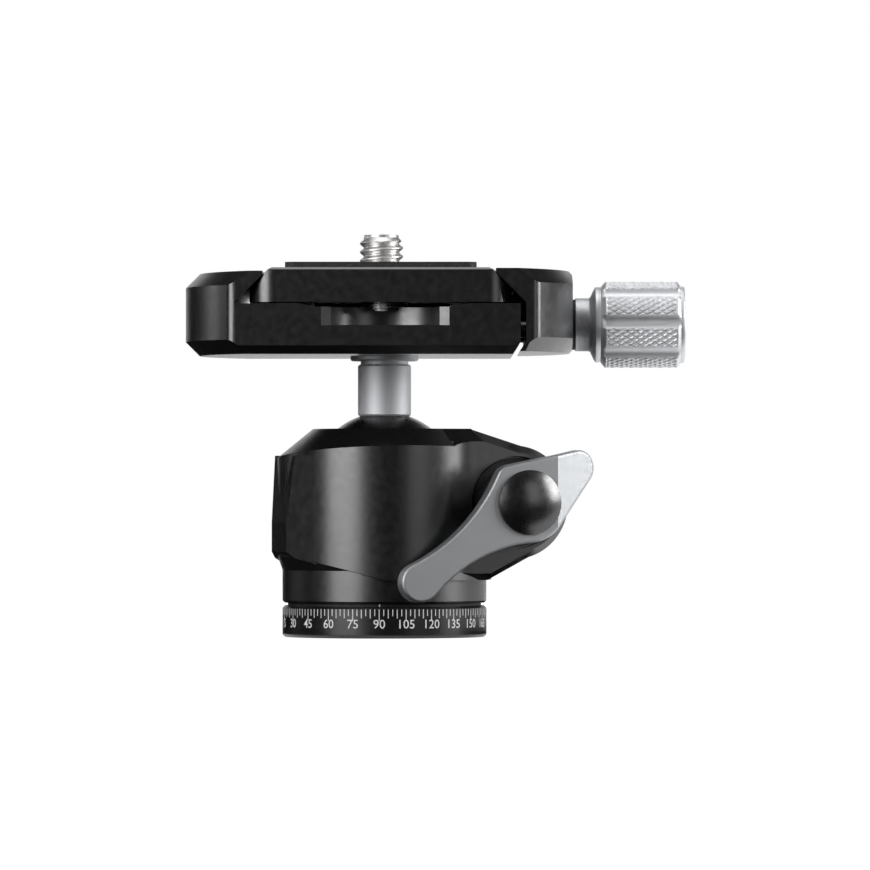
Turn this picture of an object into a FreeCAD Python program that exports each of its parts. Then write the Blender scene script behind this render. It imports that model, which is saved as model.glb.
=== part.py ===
import FreeCAD, Part
import math
import os

# Compact tripod ball head with a lever clamp, a dovetail camera plate and a
# panning base. Millimetres, +Z up, X to the right, -Y towards the viewer.
# The origin is the centre of the base's bottom face.

# fits and seats shared by many pieces
RUN = 0.05            # radial gap of a shaft or ball that turns
SEAT = 0.02           # gap between faces that slide on each other
HEAD_TURN = 17.0      # the housing stands turned by this much about Z

# panning base
BASE_R = 15.0
BASE_H = 4.62
BASE_EDGE = 0.35
SOCKET_R = 3.97       # tapped hole for a 3/8-16 thread
SOCKET_DEEP = 6.3
POST_R = 9.0
WASHER_R = 14.2
WASHER_H = 0.42

# housing, heights above the base's bottom face
BALL_R = 11.0
BALL_Z = 22.0
BODY_R = 15.74
SKIRT_IN = 0.74       # the round foot is this much narrower
UNDER_Z = 8.4
UNDER_SLOPE = 16.7
TOP_R = 11.0
TOP_Z = 30.5
BEVEL_FRONT = 1.7     # the top bevel's axis lies this far in front
BEVEL_RISE = 0.8125   # rise of the top bevel for each mm inwards
RIM_Z = 28.15
MOUTH_R = 10.8
NOTCH_GAP = 0.3
PAD_OUT = 0.36
PAD_HALF = 4.0
PAD_LOW = 12.5
PAD_HIGH = 16.8
PAD_TOP = 26.6
PAD_LEAN = 0.9        # the pad's top edge lies this far inside its face

# boss for the lock lever, in the housing's own turned frame
BOSS_OUT = 0.26       # the boss axis lies this far outside the wall
BOSS_Z = 19.75
BOSS_R = 8.3
BOSS_FRONT = 13.6
BOSS_EDGE = 1.05
FLAT_SHORT = 6.5      # the flat top ends this far before the boss axis
LOW_ANGLE = 28.0
NECK_EDGE = 2.3
NECK_LOW = 1.0
NECK_BLEND = 8.0
SPOT_R = 6.76
SPOT_DEEP = 1.2
SLIT = 1.1
SLIT_FOOT = 10.4

# ring stack under the ball
CLOSE_H = 1.15
CLOSE_WALL = 1.0
CLOSE_TOP = 8.3
CLIP_H = 0.6
CLIP_DEEP = 0.7
CLIP_OUT = 0.9
PLATE_H = 0.65
PLATE_HOLE = 4.0
SPRING_H = 0.5
SPRING_IN = 6.0
SPRING_ROOM = 0.45    # between the spring's rim and the bore
CUP_FOOT = 10.2
CUP_HOLE = 4.5
CUP_TOP = 15.6

# lock bolt and lever
BOLT_R = 2.5
BOLT_HEAD_AF = 8.0
BOLT_HEAD_H = 3.2
BOLT_HEAD_SUNK = 2.6
THRUST_H = 0.6
HUB_COLLAR_R = 5.2
LEVER_BACK = 17.3
LEVER_FRONT = 20.1
LEVER_EDGE = 0.45
HUB_R = 5.9
SPLINE_R = 3.4
ARM_TIP_U = -16.4
ARM_TIP_W = -11.6
ARM_TIP_R = 2.9
CORNER_U = -2.75
CORNER_W = 3.25
CORNER_R = 2.2
WING_U = 8.1
WING_W = 5.0
WING_R = 2.6
ARM_TOP_HOLLOW = 26.0
ARM_LOW_HOLLOW = 22.0
WING_BEND_U = 4.3
WING_BEND = 22.0
CAP_R = 4.7
CAP_RISE = 1.3
CAP_LIP = 0.4

# ball, stud and stem
STUD_R = 3.0
STUD_HEAD_R = 4.2
STUD_HEAD_H = 2.2
STUD_SUNK = 1.2       # the stud's head lies this deep in the ball
NECK_R = 3.4
SLEEVE_R = 3.9
SLEEVE_FOOT = 32.4
SLEEVE_LONG = 7.6
GROOVE_R = 3.5
GROOVE_H = 0.5
FLANGE_R = 5.0
FLANGE_H = 0.7
SLEEVE_EDGE = 0.25

# clamp
CLAMP_H = 12.0
CLAMP_R = 29.2
CLAMP_HALF = 19.0
CLAMP_EDGE = 2.05
CLAMP_CORNER = 1.6
FLOOR_UP = 7.3
RELIEF = 0.5
RELIEF_HALF = 9.7
RELIEF_RUN = 2.6
SCALLOP_X = 0.25
SCALLOP_HALF = 8.25
SCALLOP_DEEP = 5.0
SCALLOP_UP = 4.15
SCALLOP_LIP = 1.0
BODY_PAST = 1.23      # the body ends this far past the plate's side
TOE_RISE = 1.75
TOE_RUN = 1.1
CLAMP_BOLT_R = 2.0
CLAMP_BOLT_HEAD_R = 3.5
CLAMP_BOLT_HEAD_H = 4.0
CLAMP_BOLT_UP = 3.86
CLAMP_BOLT_LONG = 9.5

# movable jaw
JAW_GAP = 0.8
JAW_TRAVEL = 2.8
JAW_LIFT = 0.4
JAW_FLAT = 1.7        # the jaw's end is cut flat by this much
HOOK_TIP = 0.55
TONGUE_HALF = 6.0
TONGUE_LONG = 3.8     # the jaw's tongue stays in the body's slot at full travel
TONGUE_ROOM = 0.4     # below the plate and above the slot's foot
PIN_R = 1.5
PIN_Y = 11.5
PIN_UP = 4.0
PIN_IN = 7.5
PIN_OUT = 4.3

# knob and its screw, axis along X
KNOB_UP = 4.65
SCREW_R = 2.0
SCREW_IN = 8.2
KNOB_WASHER_R = 3.7
KNOB_WASHER_H = 0.45
COLLAR_R = 3.9
COLLAR_LONG = 2.5
FLARE_LONG = 0.9
RING_R = 5.5
RING_LONG = 0.9
GRIP_LONG = 11.7
GRIP_R = 6.36
END_LONG = 0.6
FLUTES = 8
FLUTE_R = 1.35
FLUTE_DEEP = 0.6
FLUTE_TURN = 87.0
CLIP_RING_R = 3.3
CLIP_RING_H = 0.5
SET_R = 1.5
SET_LONG = 3.0

# camera plate
PLATE_X = -0.43
PLATE_HALF = 19.0     # across the dovetail; the plate is as deep as the clamp
PLATE_LIFT = 0.2      # between the plate and the clamp's floor
PLATE_SIDE = 2.0
PLATE_BEVEL = 3.0
PLATE_CORNER = 3.5
PLATE_EDGE = 0.3
PLATE_SLIDE = 1.5
POCKET_HALF_X = 10.0
POCKET_HALF_Y = 12.0
POCKET_DEEP = 0.6
PAD_HALF_X = 13.9
PAD_HALF_Y = 15.6
PAD_H = 0.9
PAD_CORNER = 1.5
STOP_R = 1.3
STOP_OUT = 1.3

# camera screw
THREAD_R = 3.175
THREAD_OUT = 4.45
THREAD_EDGE = 0.7
CAM_HEAD_R = 6.0
CAM_HEAD_H = 1.5
CAM_SLOT = 1.6
CAM_CLIP_R = 4.5
CAM_CLIP_H = 0.5
CAM_GROOVE = 0.45

# places that follow from the ones above
HOUSE_FOOT = BASE_H + WASHER_H
SKIRT_R = BODY_R - SKIRT_IN
PAD_X = BODY_R + PAD_OUT
BOSS_X = BODY_R + BOSS_OUT
FLAT_END = BOSS_X - FLAT_SHORT
BORE_R = BALL_R + RUN
CLOSE_FOOT = HOUSE_FOOT + CLOSE_H
CLIP_FOOT = CLOSE_FOOT + SEAT
POST_TOP = CLIP_FOOT + CLIP_H + 0.5
SPRING_FOOT = CLOSE_TOP + PLATE_H
PIVOT_BACK = BOSS_FRONT - SPOT_DEEP
SLEEVE_TOP = SLEEVE_FOOT + SLEEVE_LONG
FLANGE_FOOT = SLEEVE_TOP + GROOVE_H
CLAMP_FOOT = FLANGE_FOOT + FLANGE_H
CLAMP_TOP = CLAMP_FOOT + CLAMP_H
FLOOR_Z = CLAMP_FOOT + FLOOR_UP
SCALLOP_FOOT = CLAMP_FOOT + SCALLOP_UP
CLAMP_BOLT_FOOT = CLAMP_FOOT + CLAMP_BOLT_UP
PIN_Z = CLAMP_FOOT + PIN_UP
KNOB_Z = CLAMP_FOOT + KNOB_UP
PLATE_FOOT = FLOOR_Z + PLATE_LIFT
PLATE_TOP = PLATE_FOOT + PLATE_SIDE + PLATE_BEVEL
PAD_TOP_Z = PLATE_TOP + PAD_H
SHELF_Z = PLATE_FOOT + PLATE_SIDE
THREAD_TOP = PAD_TOP_Z + THREAD_OUT
BODY_END = PLATE_X + PLATE_HALF + BODY_PAST
JAW_FACE = BODY_END + JAW_GAP
JAW_END = CLAMP_R - JAW_FLAT
SCREW_TIP = BODY_END - SCREW_IN
COLLAR_END = JAW_END + COLLAR_LONG
FLARE_END = COLLAR_END + FLARE_LONG
GRIP_START = FLARE_END + RING_LONG
GRIP_END = GRIP_START + GRIP_LONG
KNOB_END = GRIP_END + END_LONG
STOP_Y = CLAMP_HALF - SCALLOP_DEEP + STOP_R + PLATE_SLIDE + SEAT
CAM_HEAD_FOOT = CLAMP_BOLT_FOOT + CLAMP_BOLT_HEAD_H + 0.25
CAM_HEAD_TOP = CAM_HEAD_FOOT + CAM_HEAD_H

Z = FreeCAD.Vector(0, 0, 1)
X = FreeCAD.Vector(1, 0, 0)
Y = FreeCAD.Vector(0, 1, 0)
FRONT = FreeCAD.Vector(0, -1, 0)
HERE = FreeCAD.Vector(0, 0, 0)


def at(x, y, z):
    return FreeCAD.Vector(x, y, z)


def rod(radius, low, high, x=0.0, y=0.0):
    """A cylinder along Z between two heights."""
    return Part.makeCylinder(radius, high - low, at(x, y, low), Z)


def tube(outer, inner, low, high, x=0.0, y=0.0):
    """A ring along Z between two heights."""
    return rod(outer, low, high, x, y).cut(rod(inner, low - 1, high + 1, x, y))


def block(x0, x1, y0, y1, z0, z1):
    """A box between two corners."""
    return Part.makeBox(x1 - x0, y1 - y0, z1 - z0, at(x0, y0, z0))


def turned(points):
    """A solid turned about Z from a closed outline of (radius, height)."""
    wire = Part.makePolygon([at(r, 0, z) for r, z in points + points[:1]])
    return Part.Face(wire).revolve(HERE, Z, 360)


def turned_x(points, height):
    """A solid turned about the X line at a height, from (x, radius)."""
    wire = Part.makePolygon([at(x, 0, height + r) for x, r in points + points[:1]])
    return Part.Face(wire).revolve(at(0, 0, height), X, 360)


def slab(points, y0, y1):
    """A closed outline of (x, z) run along Y."""
    wire = Part.makePolygon([at(x, y0, z) for x, z in points + points[:1]])
    return Part.Face(wire).extrude(at(0, y1 - y0, 0))


def slab_x(points, x0, x1):
    """A closed outline of (y, z) run along X."""
    wire = Part.makePolygon([at(x0, y, z) for y, z in points + points[:1]])
    return Part.Face(wire).extrude(at(x1 - x0, 0, 0))


def across(radius, y0, y1, x, z):
    """A cylinder along Y."""
    return Part.makeCylinder(radius, y1 - y0, at(x, y0, z), Y)


def along(radius, x0, x1, y, z):
    """A cylinder along X."""
    return Part.makeCylinder(radius, x1 - x0, at(x0, y, z), X)


def hexagon(flats, y0, y1, x, z):
    """A six-sided bar along Y."""
    reach = flats / 2 / math.cos(math.radians(30))
    corners = []
    for k in range(6):
        turn = math.radians(60 * k)
        corners.append((x + reach * math.cos(turn), z + reach * math.sin(turn)))
    return slab(corners, y0, y1)


def upright(shape):
    """The vertical straight edges of a shape."""
    found = []
    for edge in shape.Edges:
        if isinstance(edge.Curve, Part.Line) and abs(edge.tangentAt(edge.FirstParameter).z) > 0.999:
            found.append(edge)
    return found


def in_housing(shape):
    """Turn a piece from the housing's own frame to the row's frame."""
    turned_shape = shape.copy()
    turned_shape.rotate(HERE, Z, HEAD_TURN)
    return turned_shape


def pan_base():
    body = turned([
        (0, 0),
        (BASE_R - BASE_EDGE, 0),
        (BASE_R, BASE_EDGE),
        (BASE_R, BASE_H - BASE_EDGE),
        (BASE_R - BASE_EDGE, BASE_H),
        (POST_R, BASE_H),
        (POST_R, CLIP_FOOT),
        (POST_R - CLIP_DEEP, CLIP_FOOT),
        (POST_R - CLIP_DEEP, CLIP_FOOT + CLIP_H),
        (POST_R, CLIP_FOOT + CLIP_H),
        (POST_R, POST_TOP),
        (0, POST_TOP),
    ])
    return body.cut(rod(SOCKET_R, -1, SOCKET_DEEP))


def pan_washer():
    return tube(WASHER_R, POST_R + RUN, BASE_H, HOUSE_FOOT - SEAT)


def base_clip():
    """A snap ring in the post's groove, open at one side."""
    ring = tube(POST_R + CLIP_OUT, POST_R - CLIP_DEEP, CLIP_FOOT, CLIP_FOOT + CLIP_H)
    return ring.cut(block(0, 12, -1.2, 1.2, CLIP_FOOT - 1, CLIP_FOOT + CLIP_H + 1))


def boss_outline(top, slope, end, low, start):
    """The boss seen from the front: each side moved in by its own amount."""
    a = math.radians(90 - slope_angle())
    b = math.radians(-90 + LOW_ANGLE)
    upper = (BOSS_X + BOSS_R * math.cos(a), BOSS_Z + BOSS_R * math.sin(a))
    lower = (BOSS_X + BOSS_R * math.cos(b), BOSS_Z + BOSS_R * math.sin(b))
    run = math.tan(math.radians(slope_angle()))
    rise = math.tan(math.radians(LOW_ANGLE))
    flat_z = TOP_Z - top
    foot_z = UNDER_Z + low
    drop = slope / math.cos(math.radians(slope_angle()))
    lift = low / math.cos(math.radians(LOW_ANGLE))
    flat_x = upper[0] - (flat_z - upper[1] + drop) / run
    foot_x = lower[0] - (lower[1] + lift - foot_z) / rise
    right_u = upper[0] - end
    right_l = lower[0] - end
    return [
        (start, foot_z),
        (start, flat_z),
        (flat_x, flat_z),
        (right_u, upper[1] - drop + (upper[0] - right_u) * run),
        (right_l, lower[1] + lift - (lower[0] - right_l) * rise),
        (foot_x, foot_z),
    ]


def slope_angle():
    """The slope that starts at the flat top and touches the boss circle."""
    across_x = BOSS_X - FLAT_END
    up = TOP_Z - BOSS_Z
    reach = math.hypot(across_x, up)
    return math.degrees(math.asin(BOSS_R / reach) - math.atan2(up, across_x)) * -1


def ring_of(points, y):
    return Part.makePolygon([at(x, y, z) for x, z in points + points[:1]])


def boss():
    """The round boss and the neck that joins it to the housing."""
    start = 1.0
    full = boss_outline(0, 0, 0, 0, start)
    small = boss_outline(NECK_EDGE * BEVEL_RISE, 1.3, 1.2, NECK_LOW, start)
    inner = BOSS_FRONT - NECK_EDGE
    neck = slab(full, -inner, inner)
    front = Part.makeLoft([ring_of(full, -inner), ring_of(small, -BOSS_FRONT)], True, True)
    back = Part.makeLoft([ring_of(full, inner), ring_of(small, BOSS_FRONT)], True, True)
    plain = BOSS_FRONT - BOSS_EDGE
    drum = across(BOSS_R, -plain, plain, BOSS_X, BOSS_Z)
    nose = Part.makeCone(BOSS_R, BOSS_R - BOSS_EDGE, BOSS_EDGE, at(BOSS_X, -plain, BOSS_Z), FRONT)
    tail = Part.makeCone(BOSS_R, BOSS_R - BOSS_EDGE, BOSS_EDGE, at(BOSS_X, plain, BOSS_Z), Y)
    return neck.fuse([front, back, drum, nose, tail, blend()])


def blend():
    """The hollow round that leads the housing's wall into the boss's face."""
    reach = BODY_R + NECK_BLEND
    depth = BOSS_FRONT + NECK_BLEND
    centre_x = math.sqrt(reach ** 2 - depth ** 2)
    start = at(centre_x * BODY_R / reach, -depth * BODY_R / reach, UNDER_Z)
    end = at(centre_x, -BOSS_FRONT, UNDER_Z)
    half_turn = math.atan2(depth, centre_x) / 2 + math.pi / 4
    middle = at(centre_x - NECK_BLEND * math.cos(half_turn),
                -depth + NECK_BLEND * math.sin(half_turn), UNDER_Z)
    deep = BOSS_FRONT - 3
    edges = [
        Part.Arc(start, middle, end).toShape(),
        Part.makeLine(end, at(end.x, -deep, UNDER_Z)),
        Part.makeLine(at(end.x, -deep, UNDER_Z), at(start.x, -deep, UNDER_Z)),
        Part.makeLine(at(start.x, -deep, UNDER_Z), start),
    ]
    shape = Part.Face(Part.Wire(edges)).extrude(at(0, 0, TOP_Z - UNDER_Z))
    inner = BOSS_FRONT - NECK_EDGE
    out = NECK_EDGE * 2
    room = slab_x([(-inner, TOP_Z), (-5, TOP_Z), (-5, UNDER_Z), (-inner, UNDER_Z),
                   (-inner - out, UNDER_Z + 2 * NECK_LOW),
                   (-inner - out, TOP_Z - out * BEVEL_RISE)], 0, 30)
    return shape.common(room)


def top_bevel():
    """The cone that the top bevel lies on, a little in front of the axis."""
    down = TOP_Z - UNDER_Z
    return Part.makeCone(TOP_R + down / BEVEL_RISE, TOP_R, down, at(0, -BEVEL_FRONT, UNDER_Z), Z)


def body_of_housing():
    """The turned upper body with its under side sloped up to the left."""
    body = rod(BODY_R, UNDER_Z, TOP_Z).common(top_bevel())
    rise = math.tan(math.radians(UNDER_SLOPE))
    left = -4.3
    wedge = slab([(left, UNDER_Z - 1), (left, UNDER_Z), (-20, UNDER_Z + (20 + left) * rise),
                  (-20, UNDER_Z - 1)], -20, 20)
    return body.cut(wedge)


def left_pad():
    """The flat pad on the left side, with flanks that touch the round wall."""
    rise = math.tan(math.radians(UNDER_SLOPE))
    foot = UNDER_Z + (PAD_X - 0.9 - 4.3) * rise
    inside = -PAD_X + 5
    front = slab([(inside, foot - 1.6), (-PAD_X + 0.9, foot - 0.1), (-PAD_X, PAD_LOW),
                  (-PAD_X, PAD_HIGH), (-PAD_X + PAD_LEAN, PAD_TOP), (inside, PAD_TOP)], -10, 10)
    corner = math.hypot(PAD_X, PAD_HALF)
    turn = math.atan2(PAD_HALF, PAD_X) + math.acos(BODY_R / corner)
    touch_x = -BODY_R * math.cos(turn)
    touch_y = BODY_R * math.sin(turn)
    points = [at(inside, -touch_y, 0), at(touch_x, -touch_y, 0), at(-PAD_X, -PAD_HALF, 0),
              at(-PAD_X, PAD_HALF, 0), at(touch_x, touch_y, 0), at(inside, touch_y, 0)]
    plan = Part.Face(Part.makePolygon(points + points[:1])).extrude(at(0, 0, TOP_Z))
    return front.common(plan)


def skirt():
    """The round foot of the housing."""
    return turned([
        (0, HOUSE_FOOT),
        (SKIRT_R - 0.3, HOUSE_FOOT),
        (SKIRT_R, HOUSE_FOOT + 0.3),
        (SKIRT_R, 9.8),
        (BODY_R, 11.9),
        (BODY_R - 1, 13.0),
        (0, 13.0),
    ])


def cavity():
    """Bore from below, ball seat, rim and flared mouth."""
    bore = rod(BORE_R, HOUSE_FOOT - 1, BALL_Z)
    seat = Part.makeSphere(BORE_R, at(0, 0, BALL_Z))
    rim_r = math.sqrt(BORE_R ** 2 - (RIM_Z - BALL_Z) ** 2)
    mouth = Part.makeCone(rim_r, MOUTH_R, TOP_Z - RIM_Z, at(0, 0, RIM_Z), Z)
    low = rod(rim_r, BALL_Z, RIM_Z + 0.01)
    return bore.fuse([seat, low, mouth])


def notch():
    """The drop slot at the back that the stem tips into."""
    half = SLEEVE_R + NOTCH_GAP
    round_end = across(half, 5, 30, 0, BALL_Z)
    return round_end.fuse(block(-half, half, 5, 30, BALL_Z, TOP_Z + 1))


def housing():
    outer = body_of_housing().fuse([skirt(), left_pad(), boss()])
    spot = across(SPOT_R, -BOSS_FRONT - 1, -PIVOT_BACK, BOSS_X, BOSS_Z)
    hole = across(BOLT_R + RUN * 2, -20, 20, BOSS_X, BOSS_Z)
    seat = hexagon(BOLT_HEAD_AF + 0.1, BOSS_FRONT - BOLT_HEAD_SUNK, 20, BOSS_X, BOSS_Z)
    slit = block(BALL_R - 3, 30, -SLIT / 2, SLIT / 2, SLIT_FOOT, TOP_Z + 1)
    shape = outer.cut(cavity())
    for tool in (notch(), spot, hole, seat, slit):
        shape = shape.cut(tool)
    return in_housing(shape)


def closing_ring():
    outer = BORE_R - SEAT
    ring = turned([
        (POST_R + RUN, HOUSE_FOOT),
        (outer, HOUSE_FOOT),
        (outer, CLOSE_TOP),
        (outer - CLOSE_WALL, CLOSE_TOP),
        (outer - CLOSE_WALL, CLOSE_FOOT),
        (POST_R + RUN, CLOSE_FOOT),
    ])
    for side in (-1, 1):
        ring = ring.cut(rod(0.5, HOUSE_FOOT - 1, HOUSE_FOOT + 0.8, side * 10.1, 0))
    return in_housing(ring)


def spring_plate():
    return in_housing(tube(BORE_R - SEAT, PLATE_HOLE, CLOSE_TOP, SPRING_FOOT))


def disc_spring():
    """A coned spring washer between the plate and the ball's cup."""
    foot = SPRING_FOOT
    top = CUP_FOOT
    outer = BORE_R - SPRING_ROOM
    ring = turned([
        (SPRING_IN, foot),
        (SPRING_IN + SPRING_H, foot),
        (outer, top - SPRING_H),
        (outer, top),
        (outer - SPRING_H, top),
        (SPRING_IN, foot + SPRING_H),
    ])
    return in_housing(ring)


def ball_cup():
    outer = BORE_R - SEAT
    ring = tube(outer, CUP_HOLE, CUP_FOOT, CUP_TOP)
    ring = ring.cut(Part.makeSphere(BALL_R + RUN, at(0, 0, BALL_Z)))
    return in_housing(ring)


def lock_bolt():
    foot = BOSS_FRONT - BOLT_HEAD_SUNK
    head = hexagon(BOLT_HEAD_AF, foot, foot + BOLT_HEAD_H, BOSS_X, BOSS_Z)
    shaft = across(BOLT_R, -LEVER_BACK + 0.6, foot, BOSS_X, BOSS_Z)
    return in_housing(head.fuse(shaft))


def thrust_washer():
    y0 = -PIVOT_BACK - THRUST_H
    ring = across(SPOT_R - 0.3, y0, -PIVOT_BACK, BOSS_X, BOSS_Z)
    return in_housing(ring.cut(across(BOLT_R + RUN * 2, y0 - 1, 0, BOSS_X, BOSS_Z)))


def lever_hub():
    """The threaded collar that the lever is fixed to."""
    back = -PIVOT_BACK - THRUST_H - SEAT
    collar = across(HUB_COLLAR_R, -LEVER_BACK, back, BOSS_X, BOSS_Z)
    spline = across(SPLINE_R, -LEVER_FRONT + 0.8, -LEVER_BACK, BOSS_X, BOSS_Z)
    bore = across(BOLT_R + RUN, -LEVER_BACK + 0.3, 0, BOSS_X, BOSS_Z)
    screw = across(1.25, -LEVER_FRONT, -LEVER_BACK, BOSS_X, BOSS_Z)
    return in_housing(collar.fuse(spline).cut(bore).cut(screw))


def straight(a, b):
    """Where a straight line touches two circles on its right-hand side."""
    ax, ay, ar = a
    bx, by, br = b
    gap = math.hypot(bx - ax, by - ay)
    turn = math.atan2(by - ay, bx - ax) + math.acos((ar - br) / gap)
    start = (ax + ar * math.cos(turn), ay + ar * math.sin(turn))
    end = (bx + br * math.cos(turn), by + br * math.sin(turn))
    return start, end


def hollow(a, b, radius):
    """Where a hollow arc outside two circles touches both, and its middle."""
    ax, ay, ar = a
    bx, by, br = b
    gap = math.hypot(bx - ax, by - ay)
    ra = ar + radius
    rb = br + radius
    run = (gap * gap + ra * ra - rb * rb) / (2 * gap)
    off = math.sqrt(ra * ra - run * run)
    ux, uy = (bx - ax) / gap, (by - ay) / gap
    cx = ax + ux * run - uy * off
    cy = ay + uy * run + ux * off
    start = (ax + (cx - ax) * ar / ra, ay + (cy - ay) * ar / ra)
    end = (bx + (cx - bx) * br / rb, by + (cy - by) * br / rb)
    mx = (start[0] + end[0]) / 2 - cx
    my = (start[1] + end[1]) / 2 - cy
    long = math.hypot(mx, my)
    middle = (cx + mx * radius / long, cy + my * radius / long)
    return start, middle, end


def belt(circles, hollows):
    """A smooth closed outline round circles in clockwise order. Each run is
    straight, or a hollow arc of the radius given for it."""
    runs = []
    for k, circle in enumerate(circles):
        after = circles[(k + 1) % len(circles)]
        if hollows[k]:
            runs.append(hollow(circle, after, hollows[k]))
        else:
            start, end = straight(circle, after)
            runs.append((start, None, end))
    edges = []
    for k, (start, middle, end) in enumerate(runs):
        if middle:
            edges.append(Part.Arc(flat(start), flat(middle), flat(end)).toShape())
        else:
            edges.append(Part.makeLine(flat(start), flat(end)))
        cu, cw, cr = circles[(k + 1) % len(circles)]
        leave = runs[(k + 1) % len(circles)][0]
        a0 = math.atan2(end[1] - cw, end[0] - cu)
        a1 = math.atan2(leave[1] - cw, leave[0] - cu)
        if a1 > a0:
            a1 -= 2 * math.pi
        mid = (a0 + a1) / 2
        top = (cu + cr * math.cos(mid), cw + cr * math.sin(mid))
        edges.append(Part.Arc(flat(end), flat(top), flat(leave)).toShape())
    return Part.Wire(edges)


def flat(point):
    """A point of the lever's outline on its front face."""
    return at(BOSS_X + point[0], -LEVER_FRONT, BOSS_Z + point[1])


def lever_outline():
    circles = [
        (ARM_TIP_U, ARM_TIP_W, ARM_TIP_R),
        (CORNER_U, CORNER_W, CORNER_R),
        (WING_U, WING_W, WING_R),
        (0.0, 0.0, HUB_R),
    ]
    return belt(circles, [ARM_TOP_HOLLOW, 0, 0, ARM_LOW_HOLLOW])


def lever_blank():
    """The whole outline as a flat piece with rounded rims."""
    blank = Part.Face(lever_outline()).extrude(at(0, LEVER_FRONT - LEVER_BACK, 0))
    rims = []
    for edge in blank.Edges:
        box = edge.BoundBox
        if box.YMax - box.YMin < 0.01:
            rims.append(edge)
    return blank.makeFillet(LEVER_EDGE, rims)


def lock_lever():
    """The long arm and the short wing that is swept back."""
    blank = lever_blank()
    bend = BOSS_X + WING_BEND_U
    arm = blank.common(block(bend - 50, bend, -40, 0, -20, 60))
    wing = blank.common(block(bend, bend + 50, -40, 0, -20, 60))
    slope = math.tan(math.radians(WING_BEND))
    sweep = FreeCAD.Matrix()
    sweep.A21 = slope
    sweep.A24 = -slope * bend
    shape = arm.fuse(wing.transformGeometry(sweep))
    hole = across(SPLINE_R, -LEVER_FRONT - 1, 0, BOSS_X, BOSS_Z)
    seat = across(CAP_R, -LEVER_FRONT - 1, -LEVER_FRONT + 0.8, BOSS_X, BOSS_Z)
    collar = across(HUB_COLLAR_R + RUN, -LEVER_BACK, 0, BOSS_X, BOSS_Z)
    return in_housing(shape.cut(hole).cut(seat).cut(collar))


def lever_screw():
    head = across(2.5, -LEVER_FRONT, -LEVER_FRONT + 0.8, BOSS_X, BOSS_Z)
    shaft = across(1.25, -LEVER_FRONT + 0.8, -LEVER_BACK - 0.3, BOSS_X, BOSS_Z)
    return in_housing(head.fuse(shaft))


def lever_cap():
    """The domed cap pressed into the lever's face."""
    lip = -LEVER_FRONT - CAP_LIP
    skirt_ring = across(CAP_R, lip, -LEVER_FRONT + 0.8, BOSS_X, BOSS_Z)
    dome_r = (CAP_R ** 2 + CAP_RISE ** 2) / (2 * CAP_RISE)
    ball = Part.makeSphere(dome_r, at(BOSS_X, lip - CAP_RISE + dome_r, BOSS_Z))
    dome = ball.common(across(CAP_R, lip - CAP_RISE - 1, lip, BOSS_X, BOSS_Z))
    room = across(CAP_R - 0.8, -LEVER_FRONT - 0.05, 0, BOSS_X, BOSS_Z)
    return in_housing(skirt_ring.fuse(dome).cut(room))


def ball():
    shape = Part.makeSphere(BALL_R, at(0, 0, BALL_Z))
    shape = shape.fuse(rod(NECK_R, BALL_Z, SLEEVE_FOOT - SEAT))
    shape = shape.cut(rod(BALL_R, SLEEVE_FOOT - SEAT, SLEEVE_FOOT + BALL_R))
    low = BALL_Z - BALL_R
    shape = shape.cut(rod(STUD_R + RUN, low - 1, SLEEVE_FOOT + 1))
    return shape.cut(rod(STUD_HEAD_R + RUN, low - 1, low + STUD_SUNK + STUD_HEAD_H + SEAT))


def ball_stud():
    low = BALL_Z - BALL_R + STUD_SUNK
    head = rod(STUD_HEAD_R, low, low + STUD_HEAD_H)
    shaft = rod(STUD_R, low + STUD_HEAD_H, CLAMP_FOOT)
    tap = rod(CLAMP_BOLT_R, CLAMP_BOLT_FOOT - CLAMP_BOLT_LONG, CLAMP_FOOT + 1)
    return head.fuse(shaft).cut(tap)


def stem_sleeve():
    body = turned([
        (STUD_R, SLEEVE_FOOT),
        (SLEEVE_R - SLEEVE_EDGE, SLEEVE_FOOT),
        (SLEEVE_R, SLEEVE_FOOT + SLEEVE_EDGE),
        (SLEEVE_R, SLEEVE_TOP - SLEEVE_EDGE),
        (SLEEVE_R - SLEEVE_EDGE, SLEEVE_TOP),
        (GROOVE_R, SLEEVE_TOP),
        (GROOVE_R, FLANGE_FOOT),
        (STUD_R, FLANGE_FOOT),
    ])
    return body


def stem_flange():
    return turned([
        (STUD_R, FLANGE_FOOT),
        (FLANGE_R - 0.2, FLANGE_FOOT),
        (FLANGE_R, FLANGE_FOOT + 0.2),
        (FLANGE_R, CLAMP_FOOT),
        (STUD_R, CLAMP_FOOT),
    ])


def clamp_blank(low, high):
    """The round, flat-sided block that the body and the jaw are cut from."""
    plan = rod(CLAMP_R, low, high).common(block(-40, 40, -CLAMP_HALF, CLAMP_HALF, low, high))
    plan = plan.makeFillet(CLAMP_CORNER, upright(plan))
    lathe = turned([
        (0, low),
        (CLAMP_R - CLAMP_EDGE, low),
        (CLAMP_R, low + CLAMP_EDGE),
        (CLAMP_R, high - CLAMP_EDGE),
        (CLAMP_R - CLAMP_EDGE, high),
        (0, high),
    ])
    shape = plan.common(lathe)
    edge = CLAMP_EDGE * 0.6
    for side in (-1, 1):
        y = side * CLAMP_HALF
        wire = Part.makePolygon([
            at(-40, y - side * edge, low - 0.01),
            at(-40, y + side, low - 0.01),
            at(-40, y + side, low + edge + 1),
            at(-40, y, low + edge),
            at(-40, y - side * edge, low - 0.01),
        ])
        shape = shape.cut(Part.Face(wire).extrude(at(80, 0, 0)))
    return shape


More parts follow.
